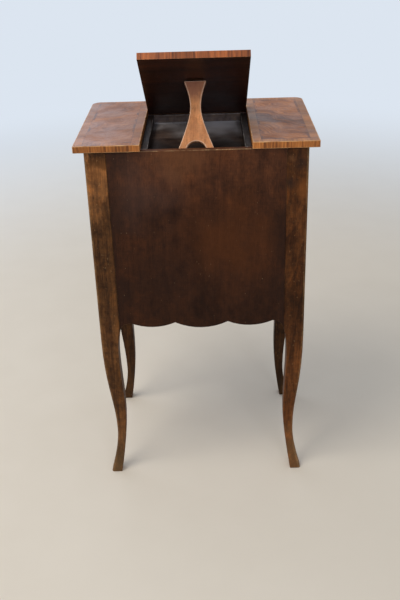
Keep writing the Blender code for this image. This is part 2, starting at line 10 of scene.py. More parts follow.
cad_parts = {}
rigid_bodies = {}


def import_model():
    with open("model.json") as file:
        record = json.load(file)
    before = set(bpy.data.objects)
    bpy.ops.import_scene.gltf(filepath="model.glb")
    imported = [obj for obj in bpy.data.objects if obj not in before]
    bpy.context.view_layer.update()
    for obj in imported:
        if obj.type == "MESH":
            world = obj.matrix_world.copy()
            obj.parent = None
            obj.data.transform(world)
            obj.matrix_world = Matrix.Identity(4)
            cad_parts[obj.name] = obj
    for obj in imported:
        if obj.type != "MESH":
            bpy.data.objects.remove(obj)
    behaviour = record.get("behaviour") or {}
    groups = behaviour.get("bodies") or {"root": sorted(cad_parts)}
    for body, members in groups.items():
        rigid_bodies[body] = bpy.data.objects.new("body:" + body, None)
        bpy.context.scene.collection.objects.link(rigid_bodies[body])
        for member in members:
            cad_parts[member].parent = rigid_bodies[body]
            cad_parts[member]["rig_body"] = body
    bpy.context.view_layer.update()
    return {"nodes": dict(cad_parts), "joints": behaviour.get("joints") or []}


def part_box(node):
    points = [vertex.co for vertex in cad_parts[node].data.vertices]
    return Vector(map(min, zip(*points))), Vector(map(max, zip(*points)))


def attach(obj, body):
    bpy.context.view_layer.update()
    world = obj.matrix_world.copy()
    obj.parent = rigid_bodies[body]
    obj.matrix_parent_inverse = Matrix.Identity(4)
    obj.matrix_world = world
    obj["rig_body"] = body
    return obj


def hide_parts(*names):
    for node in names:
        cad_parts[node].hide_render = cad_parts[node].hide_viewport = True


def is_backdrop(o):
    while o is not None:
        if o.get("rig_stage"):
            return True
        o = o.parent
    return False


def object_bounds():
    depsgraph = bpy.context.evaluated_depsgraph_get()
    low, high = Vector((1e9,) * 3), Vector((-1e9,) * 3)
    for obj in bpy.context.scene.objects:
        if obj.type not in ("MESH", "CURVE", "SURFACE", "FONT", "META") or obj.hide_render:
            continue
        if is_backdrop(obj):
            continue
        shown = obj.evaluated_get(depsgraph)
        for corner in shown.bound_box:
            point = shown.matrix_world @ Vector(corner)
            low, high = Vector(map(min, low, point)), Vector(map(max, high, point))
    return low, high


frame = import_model()
nodes = frame["nodes"]


# Legs: four walnut posts, square beside the case and sawn to an S-curve on two faces below it.
# They were smoothed with a spokeshave and waxed, and long handling rounded and paled their corners.
# Patches hold real stains and dust, and also painted shade, shadow, sheen and light; side bands hold dust,
# and also painted shade.
StainAndLight = namedtuple("StainAndLight", "colour middle reach strength")
SideDustAndShade = namedtuple("SideDustAndShade", "colour sides reach strength")

LEG_OUTER_ROUND = 0.0042
LEG_ARRIS_ROUND = 0.0013
LEG_OUTER_LEAST = 0.9
LEG_HANDLED_LEAST = 0.7
LEG_RING_GAP = 0.0065
LEG_PALE = (108, 70, 38)
LEG_DEEP = (61, 38, 22)
LEG_WORN = (186, 146, 100)
LEG_RED_PALE = (110, 65, 32)
LEG_RED_DEEP = (62, 35, 17)
LEG_DUST = (104, 82, 54)
LEG_DUST_REACH = 0.15
LEG_DUST_STRENGTH = {"front": 0.15, "rear": 0.6}
LEG_REAR_FACE = 0.162
# Factors by height for each leg, partly the wood's own tone and partly painted light and shade: painted shade
# on the front legs and under the top's overhang at the tops of the rear posts, and painted light near the
# feet and high on the right rear post.
LEG_TONE_AND_LIGHT = {
    "front_left": ((0.05, 0.55), (0.30, 0.42), (0.72, 1.3)),
    "front_right": ((0.05, 0.55), (0.30, 0.42), (0.72, 1.2)),
    "rear_left": ((0.06, 1.9), (0.16, 1.15), (0.25, 1.35), (0.34, 0.70), (0.42, 0.38), (0.54, 0.92),
                  (0.70, 0.65), (0.72, 0.66), (0.727, 0.40)),
    "rear_right": ((0.06, 1.6), (0.26, 0.76), (0.34, 1.20), (0.42, 0.80), (0.56, 0.80), (0.66, 2.1),
                   (0.70, 2.6), (0.727, 0.7)),
}
LEG_MARKS = {
    "rear_left": (StainAndLight((42, 30, 25), (-0.195, LEG_REAR_FACE, 0.697), 0.034, 0.75),
                  StainAndLight((126, 82, 50), (-0.174, LEG_REAR_FACE, 0.707), 0.014, 0.55),
                  StainAndLight((146, 86, 40), (-0.194, LEG_REAR_FACE, 0.648), 0.026, 0.40),
                  StainAndLight((38, 29, 25), (-0.1725, LEG_REAR_FACE, 0.660), 0.022, 0.75)),
    "rear_right": (StainAndLight((166, 106, 56), (0.182, LEG_REAR_FACE, 0.690), 0.034, 0.36),),
}
WELD_DISTANCE = 0.00002
FLAT_ANGLE = math.radians(0.5)
CORNER_ANGLE = math.radians(35)
SHARP_ANGLE = math.radians(50)
ROUND_STEPS = 3

# Each noise has its features to the metre along X, Y and Z, its detail and, for some, its roughness.
# A span is the stretch of a noise's values between where something starts and where it is in full.
WOOD_EDDIES = (5.0, 2.0, (0.012, 0.012, 0))
WOOD_STREAKS = ((75, 75, 3.5), 4.0)
WOOD_FIBRES = ((620, 620, 16), 2.0)
WOOD_PORES = ((1500, 1500, 60), 1.0)
WOOD_BROAD = ((14, 14, 9), 5.0, 0.62)
WOOD_CLOUD = ((48, 48, 34), 4.0, 0.65)
WOOD_MARKS = ((35, 35, 420), 3.0)
WOOD_MOTTLE = ((110, 110, 80), 3.0, 0.6)
WOOD_DRIFT = ((18, 18, 18), 1.0)
WOOD_FLAWS = ((300, 300, 160), 2.0)
WOOD_RELIEF = 0.00016
WAVE_PERIOD = 0.314
NOISE_MIDDLE = (0.5, 0.5, 0.5)
NOISE_SPAN = (0.3, 0.7)
PORE_SPAN = (0.60, 0.72)
RUB_SPAN = (0.44, 0.60)
SCUFF_SPAN = (0.50, 0.66)
CHIP_SPAN = (0.75, 0.80)
CHIP_GAIN = 0.08
CHIP_STRENGTH = 0.22
SCUFF_LEAST = 0.55
FIGURE_SWING = 0.2
MARK_SHADES = (0.94, 1.06)
PORE_SHADE = 0.62
TINT_STOPS = (0.36, 0.50, 0.64)
DARK_TINT = (0.90, 1.0, 1.05)
GOLD_TINT = (0.90, 0.70, 0.30)
DULL_TINT = (0.50, 0.46, 0.34)
WARM_TINT = (0.50, 0.40, 0.20)
SHADE_DRIFT = 0.05
STAIN_RAGGED = 0.2
SIDE_BAND_RAGGED = 0.4
SMOOTHER, ROUGHER = 0.07, 0.09
MATT_GAIN = 0.15


def tone(colour):
    """A colour written as 0-255 sRGB, as the linear colour that a shader takes."""
    return [((part / 255 + 0.055) / 1.055) ** 2.4 for part in colour] + [1.0]


def add_node(tree, kind, inputs=None, **settings):
    """A node in a tree, with its settings, and its sockets linked or set by name or number."""
    made = tree.nodes.new(kind)
    for setting, value in settings.items():
        setattr(made, setting, value)
    for socket, value in (inputs or {}).items():
        if isinstance(value, bpy.types.NodeSocket):
            tree.links.new(value, made.inputs[socket])
        else:
            made.inputs[socket].default_value = value
    return made


class Finish:
    """A surface finish: one Principled material whose nodes are added step by step."""

    def __init__(self, name, sheen=0.5, metallic=0.0):
        self.material = bpy.data.materials.new(name)
        self.material.use_nodes = True
        self.tree = self.material.node_tree
        self.shader = self.tree.nodes["Principled BSDF"]
        self.shader.inputs["Specular IOR Level"].default_value = sheen
        self.shader.inputs["Metallic"].default_value = metallic
        self.place = self.add("TexCoord").outputs["Object"]
        self.arris = self.add("Attribute", attribute_name="arris").outputs["Fac"]

    def add(self, kind, inputs=None, **settings):
        """A shader node of this finish."""
        return add_node(self.tree, "ShaderNode" + kind, inputs, **settings)

    def maths(self, operation, *values):
        """One sum on numbers."""
        return self.add("Math", dict(enumerate(values)), operation=operation).outputs[0]

    def weighed(self, *shares):
        """The sum of values, each times its share."""
        total = 0.0
        for value, share in shares:
            total = self.maths("MULTIPLY_ADD", value, share, total)
        return total

    def vector(self, operation, first, second):
        """One sum on places."""
        return self.add("VectorMath", {0: first, 1: second}, operation=operation).outputs[0]

    def spread(self, value, low, high, start=0.0, end=1.0):
        """A value between low and high, spread smoothly from start to end."""
        inputs = {"Value": value, "From Min": low, "From Max": high, "To Min": start, "To Max": end}
        return self.add("MapRange", inputs, interpolation_type="SMOOTHSTEP").outputs[0]

    def noise(self, place, features, detail=3.0, roughness=0.5):
        """Cloudy noise with so many features to the metre in each direction."""
        stretched = self.vector("MULTIPLY", place, features)
        inputs = {"Vector": stretched, "Scale": 1.0, "Detail": detail, "Roughness": roughness}
        return self.add("TexNoise", inputs).outputs["Fac"]

    def eddies(self, place, features, detail, reach):
        """Slow eddies that lead a place astray by up to half that reach to each side."""
        inputs = {"Vector": place, "Scale": features, "Detail": detail}
        eddy = self.add("TexNoise", inputs).outputs["Color"]
        return self.vector("MULTIPLY", self.vector("SUBTRACT", eddy, NOISE_MIDDLE), reach)

    def blend(self, amount, first, second, how="MIX"):
        """Two colours, the second laid over the first."""
        return self.add("Mix", {0: amount, 6: first, 7: second}, data_type="RGBA", blend_type=how).outputs[2]

    def dim(self, colour, amount):
        """A colour made darker, or lighter, by a factor."""
        return self.blend(1.0, colour, amount, "MULTIPLY")

    def ramp(self, value, stops):
        """A value read off a ramp of stops, each a place from 0 to 1 and the factor or colour there."""
        made = self.add("ValToRGB", {0: value})
        made.color_ramp.interpolation = "EASE"
        points = made.color_ramp.elements
        while len(points) < len(stops):
            points.new(0.5)
        for point, (where, factor) in zip(points, stops):
            point.position = where
            point.color = (factor, factor, factor, 1.0) if isinstance(factor, float) else (*factor, 1.0)
        return made.outputs[0]

    def tinted(self, colour, value, strength, less, more):
        """A colour that loses red, green and blue where a noise is low, and gains them where it is high."""
        low = [1.0 - strength * part for part in less]
        high = [1.0 + strength * part for part in more]
        return self.dim(colour, self.ramp(value, list(zip(TINT_STOPS, (low, 1.0, high)))))

    def stained(self, away, drift, reach, strength, ragged):
        """How strong a patch is so far away from it, with an edge that a drift makes ragged; patches are
        stains, dust, painted shade and painted light.
        """
        stray = self.spread(drift, *NOISE_SPAN, -ragged * reach, ragged * reach)
        return self.spread(self.maths("ADD", away, stray), 0.0, reach, strength, 0.0)

    def close(self, colour, roughness, height, relief):
        """Link the colour, the roughness and a height of so many metres to the shader."""
        bump = self.add("Bump", {"Height": height, "Distance": relief, "Strength": 1.0})
        for socket, value in (("Base Color", colour), ("Roughness", roughness), ("Normal", bump.outputs[0])):
            self.tree.links.new(value, self.shader.inputs[socket])
        return self.material


def aged_wood(name, pale, deep, worn, turn=(0, 0, 0), pith=(0.12, 0.09, 0), ring_gap=0.007, grain=1.0,
              patchy=0.5, rough=0.5, wear=0.6, even=0.05, sheen=0.10, chipped=0.0, height_tone_and_light=None, stains_and_light=(),
              side_dust_and_shade=None):
    """Old solid wood; turn brings its grain upright, and pith is how far the tree's heart lies from it.

    grain is the strength of its figure and patchy that of its clouds. wear is how far its corners have paled
    where they are rubbed most, even the share of that where they are rubbed least, and chipped adds flecks.
    Its height ramp gives heights with the factor it is lightened or darkened by there, partly its own tone
    and partly painted light and shade. A patch lies round its middle, and a band along its sides, each side
    an axis and a place on it. Some patches and bands are stains and dust, others painted shade, shadow, sheen
    and light."""
    wood = Finish(name, sheen)
    upright = wood.add("Mapping", {"Vector": wood.place, "Rotation": turn, "Location": pith}).outputs[0]
    swayed = wood.vector("ADD", upright, wood.eddies(upright, *WOOD_EDDIES))
    rings = wood.add("TexWave", {"Vector": swayed, "Scale": WAVE_PERIOD / ring_gap, "Distortion": 0.5,
                                 "Detail": 2.0}, wave_type="RINGS", rings_direction="Z", wave_profile="SAW")
    streaks = wood.noise(swayed, *WOOD_STREAKS)
    fibres = wood.noise(upright, *WOOD_FIBRES)
    pores = wood.spread(wood.noise(upright, *WOOD_PORES), *PORE_SPAN)
    broad = wood.noise(wood.place, *WOOD_BROAD)
    cloud = wood.noise(wood.place, *WOOD_CLOUD)
    dirt = wood.weighed((broad, 0.6), (cloud, 0.4))
    figure = wood.weighed((rings.outputs["Fac"], 0.10), (streaks, 0.55), (fibres, 0.35))
    swing = FIGURE_SWING / grain
    colour = wood.blend(wood.spread(figure, 0.5 - swing, 0.5 + swing), tone(deep), tone(pale))
    colour = wood.tinted(colour, dirt, patchy, DARK_TINT, GOLD_TINT)
    colour = wood.dim(colour, wood.spread(wood.noise(upright, *WOOD_MARKS), *NOISE_SPAN, *MARK_SHADES))
    colour = wood.tinted(colour, wood.noise(wood.place, *WOOD_MOTTLE), patchy, DULL_TINT, WARM_TINT)
    colour = wood.dim(colour, wood.spread(pores, 0.0, 1.0, 1.0, PORE_SHADE))
    spot = wood.add("SeparateXYZ", {0: wood.place}).outputs
    # The height ramp: partly the wood's own tone, partly painted light and shade.
    if height_tone_and_light:
        height = wood.maths("ADD", spot[2], wood.spread(broad, *NOISE_SPAN, -SHADE_DRIFT, SHADE_DRIFT))
        colour = wood.dim(colour, wood.ramp(height, height_tone_and_light))
    drift = wood.noise(wood.place, *WOOD_DRIFT)
    matt = 0.0
    # Patches: real stains and dust, and also painted shade, painted shadow, painted sheen and painted light.
    for stain in stains_and_light:
        away = wood.add("VectorMath", {0: wood.place, 1: stain.middle}, operation="DISTANCE").outputs["Value"]
        amount = wood.stained(away, drift, stain.reach, stain.strength, STAIN_RAGGED)
        colour = wood.blend(amount, colour, tone(stain.colour))
        matt = wood.maths("MAXIMUM", matt, amount)
    # A band along given sides: dust in the well, and painted shade on the back board beside the posts.
    if side_dust_and_shade:
        gaps = []
        for axis, side in side_dust_and_shade.sides:
            gaps.append(wood.maths("ABSOLUTE", wood.maths("SUBTRACT", spot[axis], side)))
        away = gaps[0]
        for gap in gaps[1:]:
            away = wood.maths("MINIMUM", away, gap)
        amount = wood.stained(away, drift, side_dust_and_shade.reach, side_dust_and_shade.strength, SIDE_BAND_RAGGED)
        colour = wood.blend(amount, colour, tone(side_dust_and_shade.colour))
    flaws = wood.noise(wood.place, *WOOD_FLAWS)
    chips = wood.spread(flaws, *(limit - CHIP_GAIN * chipped for limit in CHIP_SPAN))
    rubbed = wood.maths("MULTIPLY", wood.arris, wood.spread(dirt, *RUB_SPAN, even, 1.0))
    rubbed = wood.maths("MULTIPLY", rubbed, wood.spread(flaws, *SCUFF_SPAN, SCUFF_LEAST, 1.0))
    rubbed = wood.maths("MULTIPLY", rubbed, wear)
    paled = wood.maths("MAXIMUM", rubbed, wood.maths("MULTIPLY", chips, CHIP_STRENGTH))
    colour = wood.blend(paled, colour, tone(worn))
    gloss = wood.spread(broad, *NOISE_SPAN, rough - SMOOTHER, rough + ROUGHER)
    roughness = wood.weighed((gloss, 1.0), (wood.maths("MAXIMUM", paled, matt), MATT_GAIN))
    height = wood.weighed((fibres, 0.5), (pores, -1.0), (cloud, 1.6))
    return wood.close(colour, roughness, height, WOOD_RELIEF)


def solid_of(name):
    """A welded working copy of a CAD node, its flat faces joined up, with room to note its worn corners."""
    shape = bmesh.new()
    shape.from_mesh(nodes[name].data)
    shape.faces.layers.float.new("arris")
    bmesh.ops.remove_doubles(shape, verts=shape.verts, dist=WELD_DISTANCE)
    bmesh.ops.dissolve_limit(shape, angle_limit=FLAT_ANGLE, verts=shape.verts, edges=shape.edges)
    return shape


def corners(shape):
    """The edges where two faces of a shape meet at a corner."""
    return [edge for edge in shape.edges if edge.is_manifold and edge.calc_face_angle() > CORNER_ANGLE]


def ease(shape, radius, edges=None):
    """Round a shape's corners by as much as fits, up to the radius, and note the new faces as worn."""
    worn = shape.faces.layers.float["arris"]
    made = bmesh.ops.bevel(shape, geom=edges or corners(shape), offset=radius, offset_type="OFFSET",
                           segments=ROUND_STEPS, profile=0.5, affect="EDGES", clamp_overlap=True)
    for face in made["faces"]:
        face[worn] = 1.0
    return shape


def place_piece(shape, name, slot, *finishes):
    """Make a working shape the finished piece that stands for a CAD node and moves with its body."""
    mesh = bpy.data.meshes.new(name + "_finished")
    shape.to_mesh(mesh)
    shape.free()
    for finish in finishes:
        mesh.materials.append(finish)
    if "custom_normal" in mesh.attributes:
        mesh.attributes.remove(mesh.attributes["custom_normal"])
    mesh.shade_smooth()
    mesh.set_sharp_from_angle(angle=SHARP_ANGLE)
    piece = bpy.data.objects.new(name + "_finished", mesh)
    bpy.context.scene.collection.objects.link(piece)
    shading = piece.modifiers.new("even_shading", "WEIGHTED_NORMAL")
    shading.keep_sharp = True
    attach(piece, nodes[name]["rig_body"])
    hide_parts(name)


for row, rearward in (("front", -1), ("rear", 1)):
    for side, rightward in (("left", -1), ("right", 1)):
        post = f"{row}_{side}"
        leg = solid_of(f"leg_{post}")
        outward = Vector((rightward, rearward, 0)).normalized()
        outer = []
        for edge in corners(leg):
            facing = edge.link_faces[0].normal + edge.link_faces[1].normal
            if facing.normalized().dot(outward) > LEG_OUTER_LEAST:
                outer.append(edge)
        ease(leg, LEG_OUTER_ROUND, outer)
        ease(leg, LEG_ARRIS_ROUND)
        worn = leg.faces.layers.float["arris"]
        for face in leg.faces:
            handled = max(0.0, face.normal.dot(outward) - LEG_HANDLED_LEAST)
            face[worn] *= handled / (1.0 - LEG_HANDLED_LEAST)
        low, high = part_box(f"leg_{post}")
        foot = (rightward * max(abs(low.x), abs(high.x)), rearward * abs(high.y), 0.0)
        dust = StainAndLight(LEG_DUST, foot, LEG_DUST_REACH, LEG_DUST_STRENGTH[row])
        pale, deep = (LEG_RED_PALE, LEG_RED_DEEP) if post == "rear_left" else (LEG_PALE, LEG_DEEP)
        leg_walnut = aged_wood(f"leg_walnut_{post}", pale, deep, LEG_WORN, turn=(0.05, 0.03, 0),
                               ring_gap=LEG_RING_GAP, wear=0.8, even=0.22, chipped=0.8,
                               height_tone_and_light=LEG_TONE_AND_LIGHT[post], stains_and_light=(dust, *LEG_MARKS.get(post, ())))
        place_piece(leg, f"leg_{post}", "leg_wood", leg_walnut)


# Panels: a wide back board and two side boards with upright grain, each with a scalloped lower edge.
# They are set between the posts, stained dark and waxed. The wax has gone cloudy, and the back board has
# painted shade along its two sides, where they meet the posts.
PANEL_ROUND = 0.0012
BACK_PALE = (78, 45, 27)
BACK_DEEP = (59, 33, 19)
BACK_WORN = (214, 178, 130)
# The back board's factors by height: lighter at the top and darker towards the bottom, partly its own tone
# and partly painted light from above and painted shade low down.
BACK_TONE_AND_LIGHT = ((0.34, 0.57), (0.48, 0.70), (0.60, 0.79), (0.72, 1.42))
# Painted shade along the back board's two sides, where they meet the posts.
BACK_SIDE_SHADE = (32, 20, 15)
BACK_SIDE_SHADE_REACH = 0.035
BACK_SIDE_SHADE_STRENGTH = 0.45
X_AXIS = 0


def finish_plain(name, radius, slot, finish):
    """Ease all the corners of a CAD node alike and give it one finish."""
    place_piece(ease(solid_of(name), radius), name, slot, finish)


back_low, back_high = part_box("back_panel")
back_side_shade = SideDustAndShade(BACK_SIDE_SHADE, ((X_AXIS, back_low.x), (X_AXIS, back_high.x)), BACK_SIDE_SHADE_REACH,
                   BACK_SIDE_SHADE_STRENGTH)
# Patches on the back board: the greyish one at the upper left is painted sheen; the warm one, the pale one at
# the top middle and the dark one lower down are its own tone; the dark one at the top corner is painted
# shadow under the top's overhang.
back_stains_and_light = (StainAndLight((94, 69, 60), (0.105, back_high.y, 0.645), 0.10, 0.30),
               StainAndLight((98, 53, 22), (-0.055, back_high.y, 0.550), 0.14, 0.40),
               StainAndLight((126, 80, 50), (0.030, back_high.y, 0.715), 0.07, 0.45),
               StainAndLight((38, 24, 18), (0.075, back_high.y, 0.460), 0.12, 0.30),
               StainAndLight((44, 34, 30), (0.135, back_high.y, 0.724), 0.05, 0.45))
back_oak = aged_wood("back_oak", BACK_PALE, BACK_DEEP, BACK_WORN, turn=(0.03, 0.05, 0), pith=(0.05, 0.31, 0),
                     ring_gap=0.009, grain=0.8, patchy=0.34, rough=0.55, chipped=0.3, height_tone_and_light=BACK_TONE_AND_LIGHT,
                     stains_and_light=back_stains_and_light, side_dust_and_shade=back_side_shade)
back = solid_of("back_panel")
back_rim = []
for edge in corners(back):
    if min(vert.co.z for vert in edge.verts) > back_high.z - PANEL_ROUND:
        back_rim.append(edge)
ease(back, PANEL_ROUND, back_rim)
place_piece(ease(back, PANEL_ROUND), "back_panel", "case_wood", back_oak)
side_walnut = aged_wood("side_walnut", LEG_PALE, BACK_DEEP, BACK_WORN, turn=(0.04, 0.02, 0),
                        pith=(0.3, 0.04, 0), ring_gap=0.008, grain=0.65, patchy=0.4)
for side in ("left", "right"):
    finish_plain(f"side_panel_{side}", PANEL_ROUND, "case_wood", side_walnut)


# Front frame: a top rail, two slim drawer rails and a scalloped apron between the front legs.
# They are solid walnut, with the grain running across from post to post.
RAIL_ROUND = 0.0007

rail_walnut = aged_wood("rail_walnut", LEG_PALE, LEG_DEEP, LEG_WORN, turn=(0.02, math.pi / 2 + 0.03, 0),
                        pith=(0.06, 0.12, 0), ring_gap=0.006, patchy=0.38)
for name in ("front_top_rail", "drawer_rail_upper", "drawer_rail_lower", "front_apron"):
    finish_plain(name, RAIL_ROUND, "case_wood", rail_walnut)


# Drawer runners: plain oak strips fixed to the side panels, each with a seat and a guide for a drawer side.
# They were left bare, so they are pale and dry, with cloudy dirt.
RUNNER_ROUND = 0.0005
LINING_PALE = (186, 146, 98)
LINING_DEEP = (132, 92, 56)
LINING_WORN = (206, 172, 126)
LINING_AGE = {"ring_gap": 0.004, "patchy": 0.3, "rough": 0.62, "wear": 0.5}

lining_along = aged_wood("lining_oak_along", LINING_PALE, LINING_DEEP, LINING_WORN,
                         turn=(math.pi / 2 + 0.02, 0.03, 0), pith=(0.2, 0.1, 0), **LINING_AGE)
for drawer in ("upper", "middle", "lower"):
    for side in ("left", "right"):
        finish_plain(f"runner_{drawer}_{side}", RUNNER_ROUND, "lining_wood", lining_along)


# Well: a thin floor board with battens on three sides, in which the closed strut lies under the flap.
# It is stained almost black and waxed, with dust along its front. A pale dust bloom at the front of its floor
# is brightened into painted reflection, and painted shade darkens the floor's rear.
WELL_ROUND = 0.0009
WELL_DUSTY = (112, 98, 92)
WELL_PALE = (92, 74, 64)
WELL_DEEP = (54, 42, 37)
WELL_DARK = (34, 27, 24)
WELL_WORN = (176, 168, 162)
# A pale dust bloom and a paler spot by the corner, both brightened into painted reflection.
WELL_BLOOM_AND_GLEAM = (208, 198, 194)
WELL_CORNER_DUST_AND_GLEAM = (236, 230, 230)
# Painted shade for the rear of the well floor.
WELL_REAR_SHADE = (24, 16, 12)
WELL_HEIGHT = 0.711
WELL_DUST = (224, 218, 218)
WELL_DUST_REACH = 0.009
WELL_DUST_STRENGTH = 0.9
Y_AXIS = 1

well_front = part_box("well_batten_front")[1].y
well_dust = SideDustAndShade(WELL_DUST, ((Y_AXIS, well_front),), WELL_DUST_REACH, WELL_DUST_STRENGTH)
# The floor's patches: a pale dust bloom at the front and a paler spot by its corner, both brightened into
# painted reflection, and painted shade over the rear on both sides.
well_bloom_and_shade = (StainAndLight(WELL_BLOOM_AND_GLEAM, (-0.036, -0.095, WELL_HEIGHT), 0.170, 0.92),
               StainAndLight(WELL_CORNER_DUST_AND_GLEAM, (-0.048, -0.088, WELL_HEIGHT), 0.050, 0.60),
               # Painted shade over the rear of the floor.
               StainAndLight(WELL_REAR_SHADE, (0.050, 0.110, WELL_HEIGHT), 0.130, 0.90),
               StainAndLight(WELL_REAR_SHADE, (-0.060, 0.110, WELL_HEIGHT), 0.140, 0.90))
well_along = aged_wood("well_stain_along", WELL_DEEP, WELL_DARK, WELL_WORN, turn=(math.pi / 2, 0.03, 0),
                       pith=(0.2, 0.05, 0), patchy=0.45, rough=0.48, wear=0.95, sheen=0.15)
well_across = aged_wood("well_stain_across", WELL_PALE, WELL_DEEP, WELL_WORN, turn=(0.02, math.pi / 2, 0),
                        pith=(0.05, 0.15, 0), patchy=0.45, rough=0.46, wear=0.9, sheen=0.14,
                        stains_and_light=well_bloom_and_shade, side_dust_and_shade=well_dust)
well_end = aged_wood("well_stain_end", WELL_DUSTY, WELL_PALE, WELL_WORN, turn=(0.02, math.pi / 2, 0),
                     pith=(0.05, 0.15, 0), patchy=0.45, wear=0.95, sheen=0.2)
for name, well_wood in (("well_floor", well_across), ("well_batten_front", well_end),
                        ("well_batten_left", well_along), ("well_batten_right", well_along)):
    finish_plain(name, WELL_ROUND, "well_wood", well_wood)


# Top: two side boards and a front strip, each veneered with a swirling walnut field in a cross-cut border.
# A dark string, worn away in places, lines the border. The edges are covered with short cross-cut strips,
# and the upper corners are rubbed through to pale wood.
TOP_ROUND = 0.0011
BAND_WIDTH = 0.0165
BAND_LEAF = 0.058
BAND_CALM = 0.10
BAND_SMOKE = 0.4
BAND_SHADES = (-0.15, 0.13)
END_BAND_NUMBER = 17.0
JOINT_WIDTH = 0.0010
JOINT_SHADES = (0.45, 0.12)
STRING_WIDTH = 0.0042
STRING_CORE = 0.00168
STRING_HALO = 0.00252
STRING_STRENGTH = 0.65
VENEER_PALE = (178, 113, 63)
VENEER_DEEP = (108, 60, 34)
VENEER_SMOKE = (74, 48, 44)
VENEER_WORN = (222, 174, 120)
VENEER_EDDIES = (12.0, 2.5, (0.110, 0.110, 0))
VENEER_BROAD = ((11, 42, 1), 2.5)
VENEER_FINE = ((26, 430, 1), 4.0)
VENEER_PORES = ((120, 1500, 1), 1.0)
VENEER_CLOUDS = ((7, 16, 1), 3.0, 0.6)
VENEER_LINE_GAP = 0.008
VENEER_SWING = 0.18
VENEER_PORE_SPAN = (0.60, 0.70)
VENEER_PORE_SHADE = 0.66
VENEER_ROUGH = (0.28, 0.46)
VENEER_RELIEF = 0.00012
SMOKE_SPAN = (0.50, 0.68)
STRING_LEFT = ((26, 26, 26), 2.0)
STRING_LEFT_SPAN = (0.46, 0.60)
RIM_REACH = 0.003
RIM_STRENGTH = 0.8
RIM_CLOUD = ((60, 60, 60), 3.0, 0.6)
RIM_SPAN = (0.35, 0.62)
RIM_SHARES = (0.15, 0.85)
HANDLED = ((22, 22, 22), 4.0, 0.6)
EDGE_PALE = (200, 125, 60)
EDGE_DEEP = (110, 60, 26)
EDGE_LEAF = 0.0406
EDGE_SHADES = (0.68, 1.12)
EDGE_STRIPES = ((240, 16, 1), 3.0)
EDGE_FINE = ((1100, 40, 1), 2.0)
EDGE_CLOUD = ((55, 55, 55), 3.0, 0.6)
EDGE_SPAN = (0.29, 0.71)
EDGE_RUB_SPAN = (0.35, 0.6)
EDGE_RUB_SHARES = (0.25, 0.9)
EDGE_ROUGH = (0.34, 0.5)
UNDER_PALE = (112, 74, 46)
UNDER_DEEP = (72, 46, 29)
SHOW_LEAST = 0.6
UP = Vector((0, 0, 1))


def laid_flat(finish, turn, shift):
    """The place on a board, turned about X and shifted so that the board's show face lies flat."""
    inputs = {"Vector": finish.place, "Rotation": (turn, 0, 0), "Location": shift}
    return finish.add("Mapping", inputs).outputs[0]


def strip_shade(finish, along, length, first=0.0):
    """A chance number from 0 to 1 for each strip of that length."""
    number = finish.maths("ADD", finish.maths("FLOOR", finish.maths("DIVIDE", along, length)), first)
    return finish.add("TexWhiteNoise", {"W": number}, noise_dimensions="1D").outputs["Value"]


